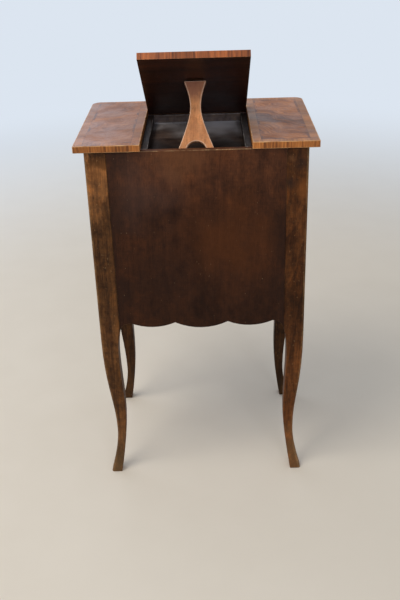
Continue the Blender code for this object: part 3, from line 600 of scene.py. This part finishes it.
def figured_veneer(name, low, high, band=BAND_WIDTH, turn=0.0, shift=(0, 0, 0), slant=0.5, smoky=0.75,
                   bold=1.0, golden=0.10, sheen=0.22):
    """Veneer on a board that spans low to high: a swirling field in a mitred border with cross grain.

    turn, about X, and shift bring the board's show face flat before the pattern is laid on it, and
    slant is the angle of the field's grain, smoky the strength of its dark clouds, bold the strength of
    its figure and golden how far the border has paled."""
    leaf = Finish(name, sheen)
    flat = laid_flat(leaf, turn, shift)
    spot = leaf.add("SeparateXYZ", {0: flat}).outputs
    margins = []
    for axis in (0, 1):
        before = leaf.maths("SUBTRACT", spot[axis], low[axis])
        after = leaf.maths("SUBTRACT", high[axis], spot[axis])
        margins.append(leaf.maths("MINIMUM", before, after))
    inside = leaf.maths("MINIMUM", margins[0], margins[1])
    in_band = leaf.maths("LESS_THAN", inside, band)
    at_end = leaf.maths("MULTIPLY", in_band, leaf.maths("LESS_THAN", margins[1], margins[0]))
    crossed = leaf.add("CombineXYZ", {0: spot[1], 1: spot[0], 2: spot[2]}).outputs[0]
    banded = leaf.add("Mix", {0: at_end, 4: flat, 5: crossed}, data_type="VECTOR").outputs[1]
    slanted = leaf.add("Mapping", {"Vector": flat, "Rotation": (0, 0, slant)}).outputs[0]
    laid = leaf.add("Mix", {0: in_band, 4: slanted, 5: banded}, data_type="VECTOR").outputs[1]
    eddy = leaf.eddies(flat, *VENEER_EDDIES)
    calm = leaf.spread(in_band, 0.0, 1.0, 1.0, BAND_CALM)
    eddy = leaf.add("VectorMath", {0: eddy, "Scale": calm}, operation="SCALE").outputs[0]
    warped = leaf.vector("ADD", laid, eddy)
    broad = leaf.noise(warped, *VENEER_BROAD)
    lines = leaf.add("TexWave", {"Vector": warped, "Scale": WAVE_PERIOD / VENEER_LINE_GAP, "Distortion": 1.6,
                                 "Detail": 2.0}, wave_type="BANDS", bands_direction="Y", wave_profile="SIN")
    fine = leaf.noise(warped, *VENEER_FINE)
    pores = leaf.spread(leaf.noise(warped, *VENEER_PORES), *VENEER_PORE_SPAN)
    figure = leaf.weighed((broad, 0.58), (lines.outputs["Fac"], 0.08), (fine, 0.34))
    swing = VENEER_SWING / bold
    colour = leaf.blend(leaf.spread(figure, 0.5 - swing, 0.5 + swing), tone(VENEER_DEEP), tone(VENEER_PALE))
    colour = leaf.blend(leaf.maths("MULTIPLY", in_band, golden), colour, tone(VENEER_WORN))
    cut = leaf.add("SeparateXYZ", {0: banded}).outputs[1]
    shade = strip_shade(leaf, cut, BAND_LEAF, leaf.maths("MULTIPLY", at_end, END_BAND_NUMBER))
    shade = leaf.maths("MULTIPLY", leaf.spread(shade, 0.0, 1.0, *BAND_SHADES), in_band)
    colour = leaf.dim(colour, leaf.maths("ADD", shade, 1.0))
    smoke = leaf.spread(leaf.noise(warped, *VENEER_CLOUDS), *SMOKE_SPAN, 0.0, smoky)
    smoke = leaf.maths("MULTIPLY", smoke, leaf.spread(in_band, 0.0, 1.0, 1.0, BAND_SMOKE))
    colour = leaf.blend(smoke, colour, tone(VENEER_SMOKE))
    colour = leaf.dim(colour, leaf.spread(pores, 0.0, 1.0, 1.0, VENEER_PORE_SHADE))
    off_joint = leaf.maths("ABSOLUTE", leaf.maths("SUBTRACT", inside, band))
    joint = leaf.spread(off_joint, 0.0, JOINT_WIDTH, *JOINT_SHADES)
    joint = leaf.maths("MULTIPLY", joint, leaf.maths("LESS_THAN", off_joint, JOINT_WIDTH))
    colour = leaf.blend(joint, colour, tone(VENEER_SMOKE))
    off_string = leaf.maths("ABSOLUTE", leaf.maths("SUBTRACT", inside, band + STRING_WIDTH / 2))
    string = leaf.spread(off_string, STRING_CORE, STRING_HALO, STRING_STRENGTH, 0.0)
    left = leaf.spread(leaf.noise(flat, *STRING_LEFT), *STRING_LEFT_SPAN)
    colour = leaf.blend(leaf.maths("MULTIPLY", string, left), colour, tone(VENEER_SMOKE))
    rubbed = leaf.maths("MAXIMUM", leaf.arris, leaf.spread(inside, 0.0, RIM_REACH, RIM_STRENGTH, 0.0))
    rubbed = leaf.maths("MULTIPLY", rubbed, leaf.spread(leaf.noise(flat, *RIM_CLOUD), *RIM_SPAN, *RIM_SHARES))
    colour = leaf.blend(rubbed, colour, tone(VENEER_WORN))
    handled = leaf.noise(flat, *HANDLED)
    roughness = leaf.spread(handled, *NOISE_SPAN, *VENEER_ROUGH)
    height = leaf.weighed((handled, 3.5), (pores, -1.0), (fine, 0.5))
    return leaf.close(colour, roughness, height, VENEER_RELIEF)


def edge_banding(name, turn=0.0, shift=(0, 0, 0), side=1.0, painted_light_factor=1.0, pale=EDGE_PALE, deep=EDGE_DEEP):
    """Cross-cut strips round a board's edge; side is the sign that lets them run on round its corner."""
    strip = Finish(name, sheen=0.25)
    flat = laid_flat(strip, turn, shift)
    spot = strip.add("SeparateXYZ", {0: flat}).outputs
    around = strip.weighed((spot[0], side), (spot[1], 1.0))
    run = strip.add("CombineXYZ", {0: around, 1: spot[2], 2: 0.0}).outputs[0]
    fine = strip.noise(run, *EDGE_FINE)
    figure = strip.weighed((strip.noise(run, *EDGE_STRIPES), 0.7), (fine, 0.3))
    colour = strip.blend(strip.spread(figure, *EDGE_SPAN), tone(deep), tone(pale))
    shade = strip_shade(strip, around, EDGE_LEAF)
    # The strips are made lighter or darker as a whole per board: painted light and shade, by the side the
    # light falls from.
    colour = strip.dim(colour, strip.spread(shade, 0.0, 1.0, *(painted_light_factor * factor for factor in EDGE_SHADES)))
    cloud = strip.noise(flat, *EDGE_CLOUD)
    rubbed = strip.maths("MULTIPLY", strip.arris, strip.spread(cloud, *EDGE_RUB_SPAN, *EDGE_RUB_SHARES))
    colour = strip.blend(rubbed, colour, tone(VENEER_WORN))
    roughness = strip.spread(cloud, *NOISE_SPAN, *EDGE_ROUGH)
    height = strip.weighed((fine, 0.5), (cloud, 1.0))
    return strip.close(colour, roughness, height, VENEER_RELIEF)


def cover(shape, up):
    """Give a board's show face the first finish, its edges the second and its underside the third."""
    for face in shape.faces:
        rise = face.normal.dot(up)
        face.material_index = 0 if rise > SHOW_LEAST else 2 if rise < -SHOW_LEAST else 1
    return shape


under_oak = aged_wood("under_oak", UNDER_PALE, UNDER_DEEP, LEG_WORN, turn=(math.pi / 2, 0, 0), rough=0.6)
# The top_left board's edge strips are lightened as painted light, and the top_right board's darkened as
# painted shade.
for name, veneer, banding in (
        ("top_left", {"slant": 0.6, "smoky": 0.65, "golden": 0.12, "sheen": 0.16},
         {"side": -1.0, "painted_light_factor": 1.12}),
        ("top_right", {"slant": -0.7, "smoky": 0.25, "bold": 0.55, "golden": 0.03}, {"painted_light_factor": 0.92}),
        ("top_front", {"slant": 0.1, "smoky": 0.60}, {})):
    low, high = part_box(name)
    show = figured_veneer(f"{name}_veneer", low, high, **veneer)
    edge = edge_banding(f"{name}_edge", **banding)
    place_piece(cover(ease(solid_of(name), TOP_ROUND), UP), name, "top_veneer", show, edge, under_oak)


# Flap: the reading board, veneered like the rest of the top and hinged along its front edge.
# Its underside was only stained, near black, and is plain but for the recess of the strut's hinge.
FLAP_UNDER_PALE = (58, 30, 20)
FLAP_UNDER_DEEP = (30, 17, 13)
FLAP_UNDER_WORN = (86, 58, 42)
FLAP_EDGE_PALE = (180, 101, 52)
FLAP_EDGE_DEEP = (105, 54, 28)


def broad_side(shape, towards):
    """The way that a board's broad side looks, of its two the one nearer to a direction."""
    looks = max(shape.faces, key=lambda face: face.calc_area()).normal.copy()
    return looks if looks.dot(towards) > 0 else -looks


flap = solid_of("flap")
flap_up = broad_side(flap, UP)
flap_lean = math.atan2(-flap_up.y, flap_up.z)
flap_joint = next(joint for joint in frame["joints"] if joint["name"] == "flap_hinge")
flap_pivot = Vector(flap_joint["pos_m"])
flap_flat = Matrix.Rotation(-flap_lean, 4, "X")
flap_shift = flap_pivot - flap_flat @ flap_pivot
flap_corners = [flap_flat @ vert.co + flap_shift for vert in flap.verts]
flap_low = [min(corner[axis] for corner in flap_corners) for axis in (0, 1)]
flap_high = [max(corner[axis] for corner in flap_corners) for axis in (0, 1)]
flap_veneer = figured_veneer("flap_veneer", flap_low, flap_high, turn=-flap_lean, shift=flap_shift,
                             slant=0.2, smoky=0.4)
flap_edge = edge_banding("flap_edge", turn=-flap_lean, shift=flap_shift, pale=FLAP_EDGE_PALE,
                         deep=FLAP_EDGE_DEEP)
flap_under = aged_wood("flap_under_stain", FLAP_UNDER_PALE, FLAP_UNDER_DEEP, FLAP_UNDER_WORN,
                       turn=(0, math.pi / 2, 0), pith=(0.1, 0.2, 0), patchy=0.3, rough=0.36, sheen=0.2)
place_piece(cover(ease(flap, TOP_ROUND), flap_up), "flap", "flap_wood", flap_veneer, flap_edge, flap_under)


# Strut: a flat prop of pale beech with a waist and an arched foot, hinged at its head to the flap.
# It was sawn from a thin board with the grain along its length; its head is greyed by hands and darkened by
# painted shade under the flap.
STRUT_ROUND = 0.0018
STRUT_PALE = (212, 146, 98)
STRUT_DEEP = (178, 116, 74)
STRUT_WORN = (242, 208, 178)
# A grey, darker patch on the strut's head: greyed by hands, and painted shade under the flap.
STRUT_HEAD_GREY_AND_SHADE = (156, 102, 82)
STRUT_HEAD_SHADE_SIDE = 0.010
STRUT_HEAD_SHADE_REACH = 0.05
STRUT_HEAD_SHADE_STRENGTH = 0.8
REARWARD = Vector((0, 1, 0))


def clear_corners(shape, radius):
    """The corners of a shape that no cut smaller than the radius lies beside."""
    found = []
    for edge in corners(shape):
        beside = [near.calc_length() for vert in edge.verts for near in vert.link_edges]
        if min(beside) > radius:
            found.append(edge)
    return found


strut = solid_of("strut")
strut_face = broad_side(strut, REARWARD)
strut_lean = math.atan2(strut_face.z, strut_face.y)
strut_head = max((vert.co for vert in strut.verts), key=lambda corner: corner.z)
# The head's patch: grey from hands and painted shade under the flap.
strut_head_grey_and_shade = StainAndLight(STRUT_HEAD_GREY_AND_SHADE, (STRUT_HEAD_SHADE_SIDE, strut_head.y, strut_head.z), STRUT_HEAD_SHADE_REACH,
                   STRUT_HEAD_SHADE_STRENGTH)
strut_beech = aged_wood("strut_beech", STRUT_PALE, STRUT_DEEP, STRUT_WORN, turn=(-strut_lean, 0.03, 0),
                        pith=(0.03, 0.2, 0), ring_gap=0.005, patchy=0.2, wear=0.95, even=0.7,
                        stains_and_light=(strut_head_grey_and_shade,))
ease(strut, STRUT_ROUND, clear_corners(strut, STRUT_ROUND))
place_piece(ease(strut, STRUT_ROUND), "strut", "strut_wood", strut_beech)


# Hinges: brass butt hinges let into the wood, with rolled knuckles that turn on a brass pin.
# Two carry the flap and one the strut; they are hand filed, and have gone brown in patches.
LEAF_ROUND = 0.0002
BRASS_BRIGHT = (196, 152, 84)
BRASS_DARK = (92, 64, 34)
BRASS_STAINED = (70, 46, 28)
BRASS_TARNISH = ((160, 160, 160), 5.0, 0.62)
BRASS_FILED = ((300, 2600, 2600), 2.0)
BRASS_SPAN = (0.36, 0.66)
BRASS_RUBBED = 0.7
BRASS_SMOOTHER, BRASS_ROUGHER = 0.08, 0.16
BRASS_RELIEF = 0.00004


def aged_brass(name, bright, dark, rough):
    """Brass that has gone brown, brighter where it is rubbed."""
    metal = Finish(name, metallic=1.0)
    filed = metal.noise(metal.place, *BRASS_FILED)
    tarnish = metal.weighed((metal.noise(metal.place, *BRASS_TARNISH), 0.85), (filed, 0.15))
    colour = metal.blend(metal.spread(tarnish, *BRASS_SPAN), tone(bright), tone(dark))
    colour = metal.blend(metal.maths("MULTIPLY", metal.arris, BRASS_RUBBED), colour, tone(bright))
    roughness = metal.spread(tarnish, *NOISE_SPAN, rough - BRASS_SMOOTHER, rough + BRASS_ROUGHER)
    return metal.close(colour, roughness, filed, BRASS_RELIEF)


hinge_brass = aged_brass("hinge_brass", BRASS_BRIGHT, BRASS_DARK, rough=0.36)
stained_brass = aged_brass("stained_brass", BRASS_STAINED, FLAP_UNDER_DEEP, rough=0.42)
for pattern, brass in (("flap_hinge_{}_left", hinge_brass), ("flap_hinge_{}_right", hinge_brass),
                       ("strut_hinge_{}", stained_brass)):
    for part in ("fixed_leaf", "moving_leaf", "pin"):
        finish_plain(pattern.format(part), LEAF_ROUND, "brass", brass)


# Drawers: veneered fronts dovetailed to thin oak sides, with a loose bottom board held in grooves.
# Each front has a small turned brass knob, screwed in from behind.
DRAWER_ROUND = 0.0006
DRAWER_BAND = 0.012
LINING_ROUND = 0.0003
KNOB_SIDES = 40
KNOB_ARC_STEPS = 12
KNOB_BASE_RADIUS = 0.0070
KNOB_BASE_THICKNESS = 0.0015
KNOB_RIM_RADIUS = 0.00651
KNOB_FLARE_RADIUS = 0.00364
KNOB_FLARE_REACH = 0.001725
KNOB_NECK_RADIUS = 0.0028
KNOB_BALL_RADIUS = 0.0062
FRONTWARD = Vector((0, -1, 0))


def turned_knob(low, high):
    """A knob in the box low to high, turned about Y: a flat base, a slim neck and a ball."""
    length = high.y - low.y
    profile = [(0, 0), (KNOB_BASE_RADIUS, 0), (KNOB_BASE_RADIUS, KNOB_BASE_THICKNESS / 2),
               (KNOB_RIM_RADIUS, KNOB_BASE_THICKNESS), (KNOB_FLARE_RADIUS, KNOB_FLARE_REACH)]
    start = -math.acos(KNOB_NECK_RADIUS / KNOB_BALL_RADIUS)
    for step in range(KNOB_ARC_STEPS + 1):
        turn = start + (math.pi / 2 - start) * step / KNOB_ARC_STEPS
        profile.append((KNOB_BALL_RADIUS * math.cos(turn), length - KNOB_BALL_RADIUS * (1 - math.sin(turn))))
    knob = bmesh.new()
    knob.faces.layers.float.new("arris")
    centre = Vector(((low.x + high.x) / 2, high.y, (low.z + high.z) / 2))
    path = [knob.verts.new(centre + Vector((radius, -reach, 0))) for radius, reach in profile]
    rim = [knob.edges.new(pair) for pair in zip(path, path[1:])]
    bmesh.ops.spin(knob, geom=path + rim, cent=centre, axis=(0, 1, 0), angle=math.tau, steps=KNOB_SIDES)
    bmesh.ops.remove_doubles(knob, verts=knob.verts, dist=WELD_DISTANCE)
    bmesh.ops.recalc_face_normals(knob, faces=knob.faces)
    return knob


lining_across = aged_wood("lining_oak_across", LINING_PALE, LINING_DEEP, LINING_WORN,
                          turn=(0.02, math.pi / 2, 0), pith=(0.1, 0.2, 0), **LINING_AGE)
knob_brass = aged_brass("knob_brass", BRASS_BRIGHT, BRASS_DARK, rough=0.26)
for drawer in ("upper", "middle", "lower"):
    front = f"drawer_{drawer}_front"
    low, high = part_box(front)
    show = figured_veneer(f"{front}_veneer", (low.x, low.z), (high.x, high.z), band=DRAWER_BAND,
                          turn=-math.pi / 2, slant=0.1, smoky=0.3)
    edge = edge_banding(f"{front}_edge", turn=-math.pi / 2)
    board = cover(ease(solid_of(front), DRAWER_ROUND), FRONTWARD)
    place_piece(board, front, "top_veneer", show, edge, lining_across)
    for part, lining in (("side_left", lining_along), ("side_right", lining_along),
                         ("back", lining_across), ("bottom", lining_across)):
        finish_plain(f"drawer_{drawer}_{part}", LINING_ROUND, "lining_wood", lining)
    knob = f"drawer_{drawer}_knob"
    place_piece(turned_knob(*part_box(knob)), knob, "brass", knob_brass)


# Screws: slotted brass screws, two in each hinge leaf and one behind each knob.
# They were turned and slotted with a saw, and driven in by hand, so their slots lie at all angles.
SCREW_RISE = 0.00018
SCREW_SLOT_DEPTH = 0.00014
SCREW_SPACING = 0.019
SCREW_MARGIN = 0.0034
LEAF_SCREW_RADIUS = 0.0019
KNOB_SCREW_RADIUS = 0.0032
SLOT_SHARE = 0.26
SAW_LENGTH = 3.0
SCREW_SIDES = 24
SCREW_SEED = 5
SQUARE_LEAST = 0.98

screw_tree = bpy.data.node_groups.new("slotted_screws", "GeometryNodeTree")
screw_inputs = {}
for label, kind in (("Places", "Geometry"), ("Head Radius", "Float"), ("Head Rise", "Float"),
                    ("Slot Width", "Float"), ("Slot Depth", "Float"), ("Seed", "Int"), ("Metal", "Material")):
    made = screw_tree.interface.new_socket(label, in_out="INPUT", socket_type="NodeSocket" + kind)
    screw_inputs[label] = made.identifier
screw_tree.interface.new_socket("Screws", in_out="OUTPUT", socket_type="NodeSocketGeometry")


def screw_step(kind, inputs=None, **settings):
    """The result of a new node in the screws' tree: its first output that is in use."""
    made = add_node(screw_tree, kind, inputs, **settings)
    return next(output for output in made.outputs if output.enabled)


def screw_times(value, factor):
    """A number of the screws' tree times a factor."""
    return screw_step("ShaderNodeMath", {0: value, 1: factor}, operation="MULTIPLY")


# The head is a disc, half sunk in the face that it sits on; a block longer than the disc cuts its slot.
given = add_node(screw_tree, "NodeGroupInput").outputs
disc = screw_step("GeometryNodeMeshCylinder", {"Vertices": SCREW_SIDES, "Radius": given["Head Radius"],
                                               "Depth": screw_times(given["Head Rise"], 2.0)})
saw_length = screw_times(given["Head Radius"], SAW_LENGTH)
saw_height = screw_times(given["Slot Depth"], 2.0)
saw_size = screw_step("ShaderNodeCombineXYZ", {0: saw_length, 1: given["Slot Width"], 2: saw_height})
saw_lift = screw_step("ShaderNodeCombineXYZ", {2: given["Head Rise"]})
saw = screw_step("GeometryNodeMeshCube", {"Size": saw_size})
saw = screw_step("GeometryNodeTransform", {"Geometry": saw, "Translation": saw_lift})
head = screw_step("GeometryNodeMeshBoolean", {"Mesh 1": disc, "Mesh 2": saw}, operation="DIFFERENCE",
                  solver="EXACT")
facing = screw_step("GeometryNodeInputNamedAttribute", {"Name": "facing"}, data_type="FLOAT_VECTOR")
squared = screw_step("FunctionNodeAlignRotationToVector", {"Vector": facing}, axis="Z")
driven = screw_step("FunctionNodeRandomValue", {"Max": math.pi, "Seed": given["Seed"]}, data_type="FLOAT")
driven = screw_step("FunctionNodeAxisAngleToRotation", {"Axis": (0, 0, 1), "Angle": driven})
turned = screw_step("FunctionNodeRotateRotation", {0: squared, 1: driven}, rotation_space="LOCAL")
heads = screw_step("GeometryNodeInstanceOnPoints", {"Points": given["Places"], "Instance": head,
                                                    "Rotation": turned})
heads = screw_step("GeometryNodeRealizeInstances", {0: heads})
heads = screw_step("GeometryNodeSetMaterial", {"Geometry": heads, "Material": given["Metal"]})
add_node(screw_tree, "NodeGroupOutput", {0: heads})


def show_face(name, facing):
    """The largest face of a CAD node that looks that way, as its corners."""
    shape = solid_of(name)
    looking = [face for face in shape.faces if face.normal.dot(facing) > SQUARE_LEAST]
    show = max(looking, key=lambda face: face.calc_area())
    found = [vert.co.copy() for vert in show.verts]
    shape.free()
    return found


def leaf_screws(leaf, pin, facing):
    """Places of a leaf's two screws, near the edge that lies away from its pin."""
    show = show_face(leaf, facing)
    low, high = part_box(pin)
    pivot = (low + high) / 2
    along = Vector((1, 0, 0))
    away = along.cross(facing).normalized()
    if (sum(show, Vector()) / len(show) - pivot).dot(away) < 0:
        away.negate()
    edge = max(corner.dot(away) for corner in show) - SCREW_MARGIN
    middle = along * pivot.x + away * edge + facing * show[0].dot(facing)
    return [(middle + along * SCREW_SPACING * side / 2, facing) for side in (-1, 1)]


def drive_screws(body, places, radius, metal):
    """Make the screws of one body a plain mesh that moves with it."""
    mesh = bpy.data.meshes.new(f"{body}_screws")
    mesh.from_pydata([place for place, facing in places], [], [])
    facings = mesh.attributes.new("facing", "FLOAT_VECTOR", "POINT")
    for number, (place, facing) in enumerate(places):
        facings.data[number].vector = facing
    screws = bpy.data.objects.new(f"{body}_screws", mesh)
    bpy.context.scene.collection.objects.link(screws)
    driving = screws.modifiers.new("slotted_screws", "NODES")
    driving.node_group = screw_tree
    slot_width = radius * SLOT_SHARE
    for label, value in (("Head Radius", radius), ("Head Rise", SCREW_RISE), ("Slot Width", slot_width),
                         ("Slot Depth", SCREW_SLOT_DEPTH), ("Seed", SCREW_SEED), ("Metal", metal)):
        driving[screw_inputs[label]] = value
    graph = bpy.context.evaluated_depsgraph_get()
    plain = bpy.data.meshes.new_from_object(screws.evaluated_get(graph), depsgraph=graph)
    screws.modifiers.remove(driving)
    screws.data = plain
    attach(screws, body)


flap_front = (flap_flat.inverted() @ FRONTWARD).normalized()
screw_places = {"carcass": [], "flap": [], "strut": []}
for side in ("left", "right"):
    pin = f"flap_hinge_pin_{side}"
    screw_places["carcass"] += leaf_screws(f"flap_hinge_fixed_leaf_{side}", pin, REARWARD)
    screw_places["flap"] += leaf_screws(f"flap_hinge_moving_leaf_{side}", pin, flap_front)
screw_places["flap"] += leaf_screws("strut_hinge_fixed_leaf", "strut_hinge_pin", -flap_up)
screw_places["strut"] += leaf_screws("strut_hinge_moving_leaf", "strut_hinge_pin", -strut_face)
for body, places in screw_places.items():
    drive_screws(body, places, LEAF_SCREW_RADIUS, hinge_brass if body == "carcass" else stained_brass)
for drawer in ("upper", "middle", "lower"):
    low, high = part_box(f"drawer_{drawer}_knob")
    inside = show_face(f"drawer_{drawer}_front", REARWARD)[0].y
    place = Vector(((low.x + high.x) / 2, inside, (low.z + high.z) / 2))
    drive_screws(f"drawer_{drawer}", [(place, REARWARD)], KNOB_SCREW_RADIUS, knob_brass)


# Floor: a plain pale studio floor under the feet.
# It is a broad matt sheet that takes the table's soft shadow and fades into the pale light beyond.
FLOOR_REACH = 12.0
FLOOR_COLOUR = (232, 221, 203)
FLOOR_SPECKS = ((9, 9, 9), 4.0)
FLOOR_SPECK_SHADE = 5
FLOOR_ROUGH = (0.85, 0.95)
FLOOR_RELIEF = 0.0005
HAZE_COLOUR = (220, 229, 240)
HAZE_SPAN = (0.9, 3.2)

floor_paint = Finish("floor_paint")
speck = floor_paint.noise(floor_paint.place, *FLOOR_SPECKS)
specked = tone([part - FLOOR_SPECK_SHADE for part in FLOOR_COLOUR])
floor_paint.close(floor_paint.blend(speck, tone(FLOOR_COLOUR), specked),
                  floor_paint.spread(speck, *NOISE_SPAN, *FLOOR_ROUGH), speck, FLOOR_RELIEF)
distance = floor_paint.add("VectorMath", {0: floor_paint.place}, operation="LENGTH").outputs["Value"]
ray = floor_paint.add("LightPath").outputs
mirrored = floor_paint.maths("MAXIMUM", ray["Is Glossy Ray"], ray["Is Transmission Ray"])
seen = floor_paint.maths("MAXIMUM", ray["Is Camera Ray"], mirrored)
haze = floor_paint.maths("MULTIPLY", seen, floor_paint.spread(distance, *HAZE_SPAN))
glow = floor_paint.add("Emission", {"Color": tone(HAZE_COLOUR), "Strength": 1.0}).outputs[0]
mixed = floor_paint.add("MixShader", {0: haze, 1: floor_paint.shader.outputs[0], 2: glow}).outputs[0]
floor_paint.tree.links.new(mixed, floor_paint.tree.nodes["Material Output"].inputs["Surface"])
floor_mesh = bpy.data.meshes.new("floor")
sheet = bmesh.new()
bmesh.ops.create_grid(sheet, x_segments=1, y_segments=1, size=FLOOR_REACH)
sheet.to_mesh(floor_mesh)
sheet.free()
floor_mesh.materials.append(floor_paint.material)
floor = bpy.data.objects.new("floor", floor_mesh)
bpy.context.scene.collection.objects.link(floor)
floor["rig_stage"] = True


# Light: soft pale light all round, and three lamps: a broad one above on the photograph's left, a large
# cool one beyond the table that glances off the waxed top, and a small one beside the camera.
# Each lamp has its name, its place, what it is aimed at, its size, its power and its colour.
SKY_COLOUR = (236, 241, 250)
SKY_STRENGTH = 0.50
KEY_COLOUR = (255, 250, 242)
COOL_COLOUR = (222, 234, 255)
LAMPS = (("key", (1.2, 0.9, 2.7), (0, 0, 0.6), 1.5, 34.0, KEY_COLOUR),
         ("window", (1.35, -1.7, 1.5), (0.20, 0, 0.74), 2.2, 15.0, COOL_COLOUR),
         ("fill", (-0.6, 2.2, 1.72), (0, 0, 0.72), 0.8, 9.0, COOL_COLOUR))

studio = bpy.data.worlds.new("studio")
studio.use_nodes = True
sky = studio.node_tree
soft = sky.nodes["Background"]
soft.inputs["Color"].default_value = tone(SKY_COLOUR)
soft.inputs["Strength"].default_value = SKY_STRENGTH
pale = add_node(sky, "ShaderNodeBackground", {"Color": tone(HAZE_COLOUR)})
ray = add_node(sky, "ShaderNodeLightPath").outputs
mirrored = add_node(sky, "ShaderNodeMath", {0: ray["Is Glossy Ray"], 1: ray["Is Transmission Ray"]},
                    operation="MAXIMUM")
seen = add_node(sky, "ShaderNodeMath", {0: ray["Is Camera Ray"], 1: mirrored.outputs[0]}, operation="MAXIMUM")
choice = add_node(sky, "ShaderNodeMixShader", {0: seen.outputs[0], 1: soft.outputs[0], 2: pale.outputs[0]})
sky.links.new(choice.outputs[0], sky.nodes["World Output"].inputs["Surface"])
bpy.context.scene.world = studio
for name, spot, aim, size, power, colour in LAMPS:
    lamp = bpy.data.lights.new(name, "AREA")
    lamp.size = size
    lamp.energy = power
    lamp.color = tone(colour)[:3]
    stand = bpy.data.objects.new(name, lamp)
    stand.location = spot
    stand.rotation_euler = (Vector(aim) - Vector(spot)).to_track_quat("-Z", "Y").to_euler()
    bpy.context.scene.collection.objects.link(stand)


# Camera: behind the table and a little above it, as the photograph was taken.
# Its place and turn were found by matching the table's corners.
CAMERA_PLACE = (-0.025, 1.6213, 1.1683)
CAMERA_YAW = -0.01825
CAMERA_PITCH = 0.4731
CAMERA_ROLL = -0.0316
SENSOR = 36.0
LENS = 49.602

level = Vector((-math.sin(CAMERA_YAW), -math.cos(CAMERA_YAW), 0))
ahead = level * math.cos(CAMERA_PITCH) - Vector((0, 0, math.sin(CAMERA_PITCH)))
across = Vector((level.y, -level.x, 0))
above = across.cross(ahead)
turned_across = math.cos(CAMERA_ROLL) * across + math.sin(CAMERA_ROLL) * above
turned_above = math.cos(CAMERA_ROLL) * above - math.sin(CAMERA_ROLL) * across
camera = bpy.data.objects.new("camera", bpy.data.cameras.new("camera"))
camera.data.sensor_width = SENSOR
camera.data.lens = LENS
camera_matrix = Matrix((turned_across, turned_above, -ahead)).transposed().to_4x4()
camera_matrix.translation = CAMERA_PLACE
camera.matrix_world = camera_matrix
bpy.context.scene.collection.objects.link(camera)
bpy.context.scene.camera = camera
bpy.context.scene.view_settings.view_transform = "Standard"

low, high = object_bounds()
